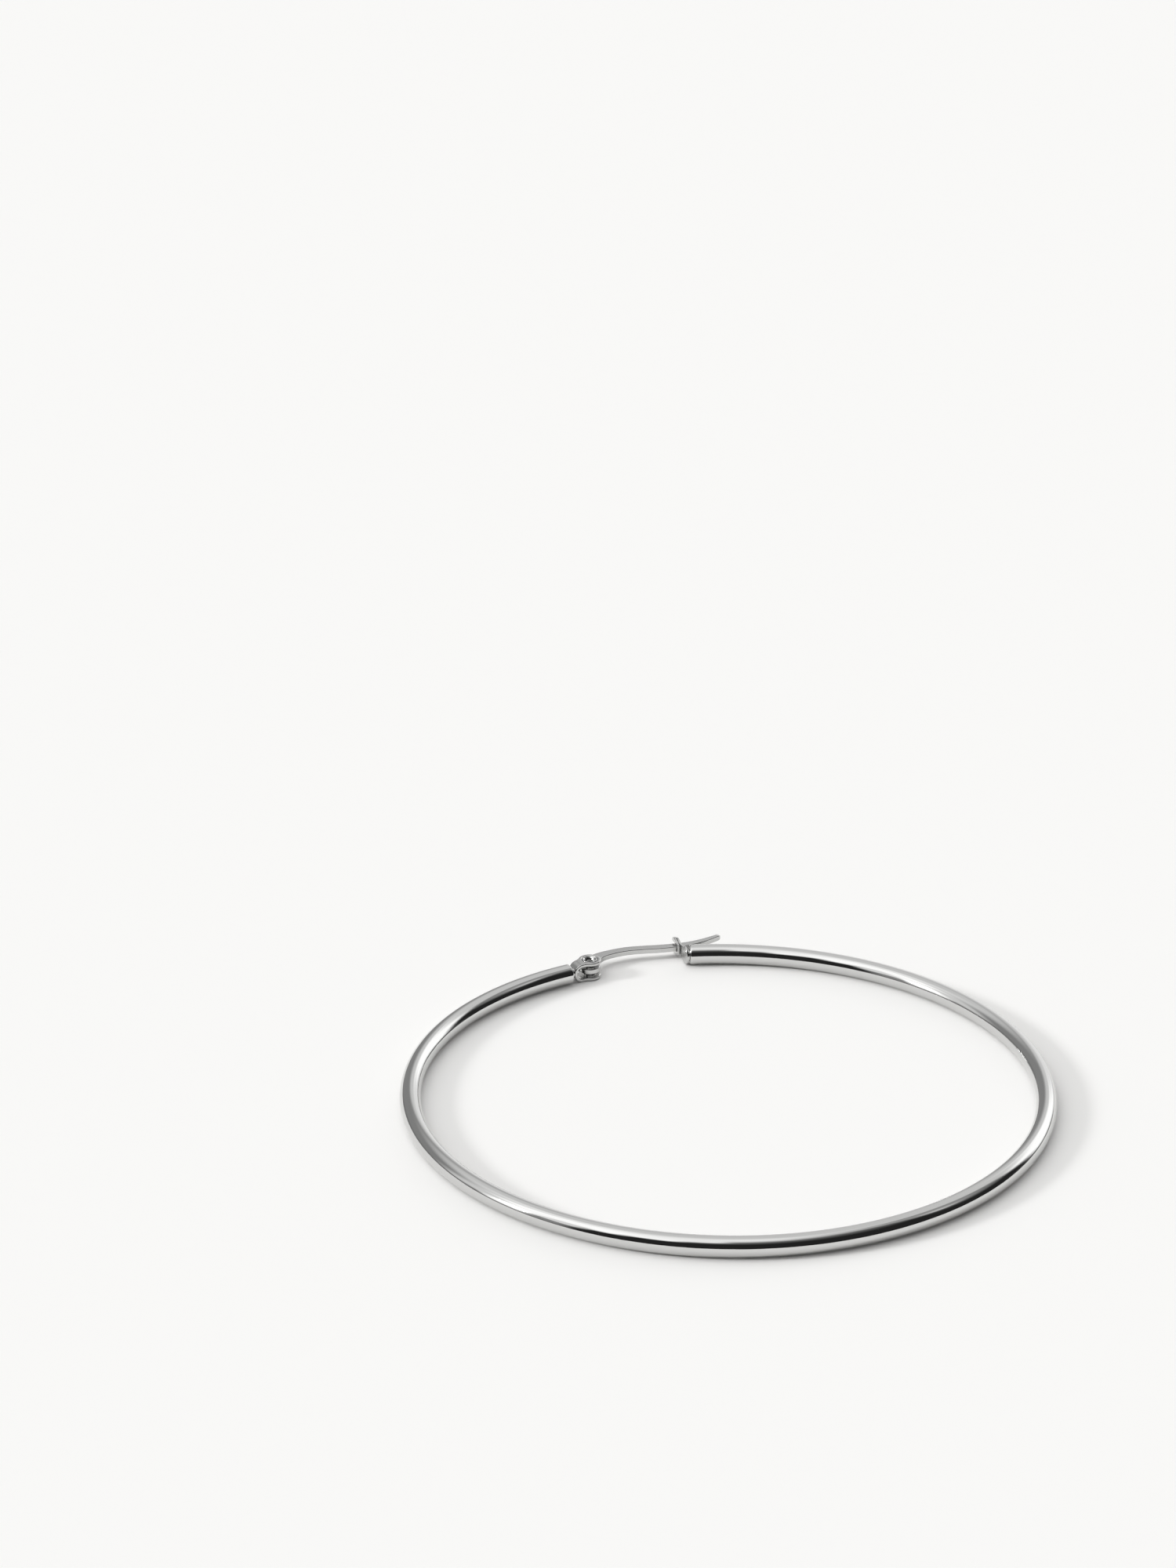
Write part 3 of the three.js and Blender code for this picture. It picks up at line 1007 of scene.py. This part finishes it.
@dataclass
class Lever:
    """The flat arched lever, with a round head and a heel on the rivet.

    Args:
        layout: the shared places.
        half: half its thickness.
        head_radius: the head's radius.
        hole: the radius of the hole for the rivet.
        heel_reach: how far the heel is from the pivot.
        heel_turn: the heel's direction from the pivot, in degrees from +X.
        heel_spread: how far round the heel's swell goes, in degrees.
        edge: the corner radius.
        tip_round: how long the thumb tip's rounding is, in half widths.
        tip_width: how much of the half width is left at the very tip, as a share.
        tip_thin: how long the tip's thinning is, in half thicknesses.
        tip_thickness: how much of the thickness is left at the very tip, as a share.
        arm: the arm's middle, as X and Y from the hoop's centre, and its half width, from head to tip.
    """

    layout: Layout
    half: float = 0.27
    head_radius: float = 1.07
    hole: float = 0.56
    heel_reach: float = 1.5
    heel_turn: float = 152.0
    heel_spread: float = 46.0
    edge: float = 0.09
    tip_round: float = 1.3
    tip_width: float = 0.02
    tip_thin: float = 1.5
    tip_thickness: float = 0.35
    arm: tuple[tuple[float, float, float], ...] = (
        (-3.75, 30.3, 0.86),
        (-3.25, 30.96, 0.72),
        (-2.4, 31.52, 0.56),
        (-1.0, 31.89, 0.475),
        (0.6, 32.02, 0.45),
        (2.2, 31.82, 0.44),
        (3.9, 31.52, 0.435),
        (5.4, 31.36, 0.41),
        (6.9, 31.35, 0.38),
        (8.5, 31.62, 0.335),
        (9.6, 31.98, 0.27),
        (10.5, 32.31, 0.21),
    )

    def head_outline(self) -> Array:
        """Draws the head: a circle with a swell for the heel, which rises and falls as a cosine squared.

        Returns:
            The closed outline, in X and Y.
        """
        turn = np.linspace(-math.pi, math.pi, 240, endpoint=False)
        off = (np.degrees(turn) - self.heel_turn + 180) % 360 - 180
        swell = np.cos(np.clip(off / self.heel_spread, -1, 1) * math.pi / 2) ** 2
        reach = self.head_radius + (self.heel_reach - self.head_radius) * swell
        return self.layout.pivot[:2] + reach[:, None] * circle(turn)

    def build(self) -> bpy.types.Object:
        """Builds the head and the arm.

        The arm's half width and its thickness are drawn in over the last of its length, each as a quarter of
        an ellipse, which rounds the thumb tip.

        Returns:
            The piece.
        """
        lay = self.layout
        head = holed_plate(
            self.head_outline(), lay.pivot[:2], (self.hole, self.hole),
            self.half - BURIED, self.edge, lay.pivot[2],
        )
        curve = smooth_curve(np.array(self.arm), 260)
        path = np.insert(curve[:, :2], 2, 0.0, axis=1) + lay.centre
        length = way_along(path)
        left = np.clip((length[-1] - length) / (self.tip_round * self.arm[-1][2]), 0, 1)
        width = curve[:, 2] * np.sqrt(np.clip(1 - (1 - left) ** 2, self.tip_width**2, 1))
        left = np.clip((length[-1] - length) / (self.tip_thin * self.half), 0, 1)
        rounding = np.sqrt(np.clip(1 - (1 - left) ** 2, 0, 1))
        thick = self.half * (self.tip_thickness + (1 - self.tip_thickness) * rounding)
        along = unit(np.gradient(path, axis=0))
        across = np.cross([0.0, 0.0, 1.0], along)
        arm = strip(path, across, -width, width, thick, self.edge, ends=(False, False))
        piece = make_piece("latch_lever_arched", [head, arm], SATIN.material())
        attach(piece, "lever")
        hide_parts("latch_lever")
        return piece


# ------------------------------------------------------------------ studio


@dataclass(frozen=True)
class Panel:
    """A soft patch of the studio's walls, as the steel mirrors it.

    Args:
        azimuth: the direction of its middle, in degrees from +X towards +Y.
        half_width: half its width in degrees.
        low: its lower edge above the horizon, in degrees.
        high: its upper edge.
        soft: how wide its edges' blur is, in degrees.
        brightness: its radiance.
    """

    azimuth: float
    half_width: float
    low: float
    high: float
    soft: float
    brightness: float


@dataclass
class Studio:
    """The camera, a pale floor, a tent of soft panels and one soft key light from the left.

    Args:
        heading: where the camera looks, in degrees from +Y towards +X.
        pitch: how far it looks down, in degrees.
        lens: its focal length in millimetres.
        viewpoint: where it stands, from the hoop's centre.
        floor_half: half the floor's side.
        floor_colour: the floor's colour.
        floor_roughness: its roughness.
        backdrop: how bright the camera sees the tent where it looks past the floor.
        key_azimuth: the key light's direction, in degrees from +X towards +Y.
        key_elevation: its height above the horizon in degrees.
        key_angle: how wide its disc is, in degrees.
        key_energy: how strongly it lights a surface that faces it, in watts a square metre.
        fill: what the tent adds to matt surfaces only, as radiance.
        dark: the radiance between the panels.
        tint: the colour of the tent.
        panels: the panels, from the first painted to the last.
    """

    heading: float = 18.0
    pitch: float = 23.94
    lens: float = 120.8
    viewpoint: tuple[float, float, float] = (-149.25, -416.57, 228.21)
    floor_half: float = 4000.0
    floor_colour: tuple[float, float, float] = (0.96, 0.956, 0.947)
    floor_roughness: float = 0.9
    backdrop: float = 0.95
    key_azimuth: float = 172.0
    key_elevation: float = 24.5
    key_angle: float = 10.0
    key_energy: float = 1.26
    fill: float = 0.21
    dark: float = 0.022
    tint: tuple[float, float, float] = (1.0, 1.0, 0.995)
    panels: tuple[Panel, ...] = (
        Panel(0, 360, 52, 130, 24, 0.15),
        Panel(86, 70, -8, 130, 22, 0.78),
        Panel(108, 34, -8, 36, 18, 0.3),
        Panel(16, 18, -12, 6, 8, 0.1),
        Panel(34, 20, 7, 36, 12, 1.5),
        Panel(58, 12, -8, 20, 10, 1.0),
        Panel(-4, 16, 36, 130, 26, 0.42),
        Panel(-14, 6, 40, 52, 8, 0.7),
        Panel(140, 26, 50, 130, 24, 1.15),
        Panel(156, 9, 12, 46, 12, 0.85),
        Panel(178, 30, 40, 130, 14, 1.5),
        Panel(188, 10, 24, 46, 10, 0.95),
        Panel(187, 9, -8, 24, 10, 0.32),
        Panel(171, 9, -10, 60, 8, 1.45),
        Panel(150, 46, -12, 8, 8, 0.22),
        Panel(217, 13, 50, 130, 12, 1.4),
        Panel(238, 12, 60, 130, 14, 1.2),
        Panel(0, 360, 73, 130, 30, 1.18),
    )

    def floor(self) -> None:
        """Builds the floor."""
        mesh = bpy.data.meshes.new("floor")
        h = self.floor_half * MM
        mesh.from_pydata([(-h, -h, 0), (h, -h, 0), (h, h, 0), (-h, h, 0)], [], [(0, 1, 2, 3)])
        made = bpy.data.materials.new("pale_floor")
        made.use_nodes = True
        shader = made.node_tree.nodes["Principled BSDF"]
        shader.inputs["Base Color"].default_value = (*self.floor_colour, 1.0)
        shader.inputs["Roughness"].default_value = self.floor_roughness
        shader.inputs["Specular IOR Level"].default_value = 0.0
        mesh.materials.append(made)
        ground = bpy.data.objects.new("floor", mesh)
        bpy.context.collection.objects.link(ground)

    def walls(self) -> None:
        """Builds the world: panels for what mirrors and lights, and one plain tone behind for the camera.

        Each panel is painted over the ones before it, by how far a direction is inside its edges.
        """
        world = bpy.data.worlds.new("studio")
        world.use_nodes = True
        bpy.context.scene.world = world
        tree = world.node_tree
        write = NodeWriter(tree)
        where = write.add("ShaderNodeTexCoord").outputs["Generated"]
        parts = write.add("ShaderNodeSeparateXYZ", {0: where})
        radian = math.degrees(1)
        turn = write.math("ARCTAN2", parts.outputs["Y"], parts.outputs["X"])
        azimuth = write.math("MULTIPLY", turn, radian)
        height = write.math("MULTIPLY", write.math("ARCSINE", parts.outputs["Z"]), radian)
        light = self.dark
        for panel in self.panels:
            off = write.math("SUBTRACT", azimuth, panel.azimuth)
            off = write.math("ABSOLUTE", write.math("WRAP", off, 180.0, -180.0))
            half = panel.soft / 2
            inside = write.step(off, panel.half_width - half, panel.half_width + half, 1.0, 0.0)
            above = write.step(height, panel.low - half, panel.low + half)
            below = write.step(height, panel.high - half, panel.high + half, 1.0, 0.0)
            weight = write.math("MULTIPLY", inside, write.math("MULTIPLY", above, below))
            keep = write.math("MULTIPLY", light, write.math("SUBTRACT", 1.0, weight))
            light = write.math("ADD", keep, write.math("MULTIPLY", weight, panel.brightness))
        path = write.add("ShaderNodeLightPath").outputs
        direct = path["Is Camera Ray"]
        light = write.math("ADD", light, write.math("MULTIPLY", path["Is Diffuse Ray"], self.fill))
        mirrored = write.math("MULTIPLY", light, write.math("SUBTRACT", 1.0, direct))
        seen = write.math("ADD", mirrored, write.math("MULTIPLY", direct, self.backdrop))
        back = tree.nodes["Background"]
        tree.links.new(seen, back.inputs["Strength"])
        back.inputs["Color"].default_value = (*self.tint, 1.0)

    def key(self) -> None:
        """Places the key light, a soft sun whose disc the steel mirrors too."""
        turn, rise = math.radians(self.key_azimuth), math.radians(self.key_elevation)
        toward = Vector((math.cos(turn) * math.cos(rise), math.sin(turn) * math.cos(rise), math.sin(rise)))
        lamp = bpy.data.lights.new("key", "SUN")
        lamp.energy = self.key_energy
        lamp.angle = math.radians(self.key_angle)
        lit = bpy.data.objects.new("key", lamp)
        lit.matrix_world = toward.to_track_quat("Z", "Y").to_matrix().to_4x4()
        bpy.context.collection.objects.link(lit)

    def camera(self, layout: Layout) -> None:
        """Places the camera: from the front and left, looking a little down along its own heading.

        Args:
            layout: the shared places.
        """
        heading, pitch = math.radians(self.heading), math.radians(self.pitch)
        data = bpy.data.cameras.new("camera")
        data.sensor_fit = "AUTO"
        data.sensor_width = 36.0
        data.lens = self.lens
        data.clip_start, data.clip_end = 0.01, 20.0
        made = bpy.data.objects.new("camera", data)
        made.rotation_mode = "XYZ"
        made.rotation_euler = (math.pi / 2 - pitch, 0.0, -heading)
        made.location = Vector((layout.centre + np.array(self.viewpoint)) * MM)
        bpy.context.collection.objects.link(made)
        bpy.context.scene.camera = made

    def build(self, layout: Layout) -> None:
        """Builds the studio round the earring.

        Args:
            layout: the shared places.
        """
        self.camera(layout)
        self.floor()
        self.walls()
        self.key()
        bpy.context.scene.view_settings.view_transform = "Standard"


def main() -> None:
    """Builds the studio and every sub-assembly."""
    layout = Layout()
    Studio().build(layout)
    for maker in (Hoop(layout), HingeBracket(layout), Rivet(layout), Catch(layout), Lever(layout)):
        maker.build()


if __name__ == "__main__":
    main()
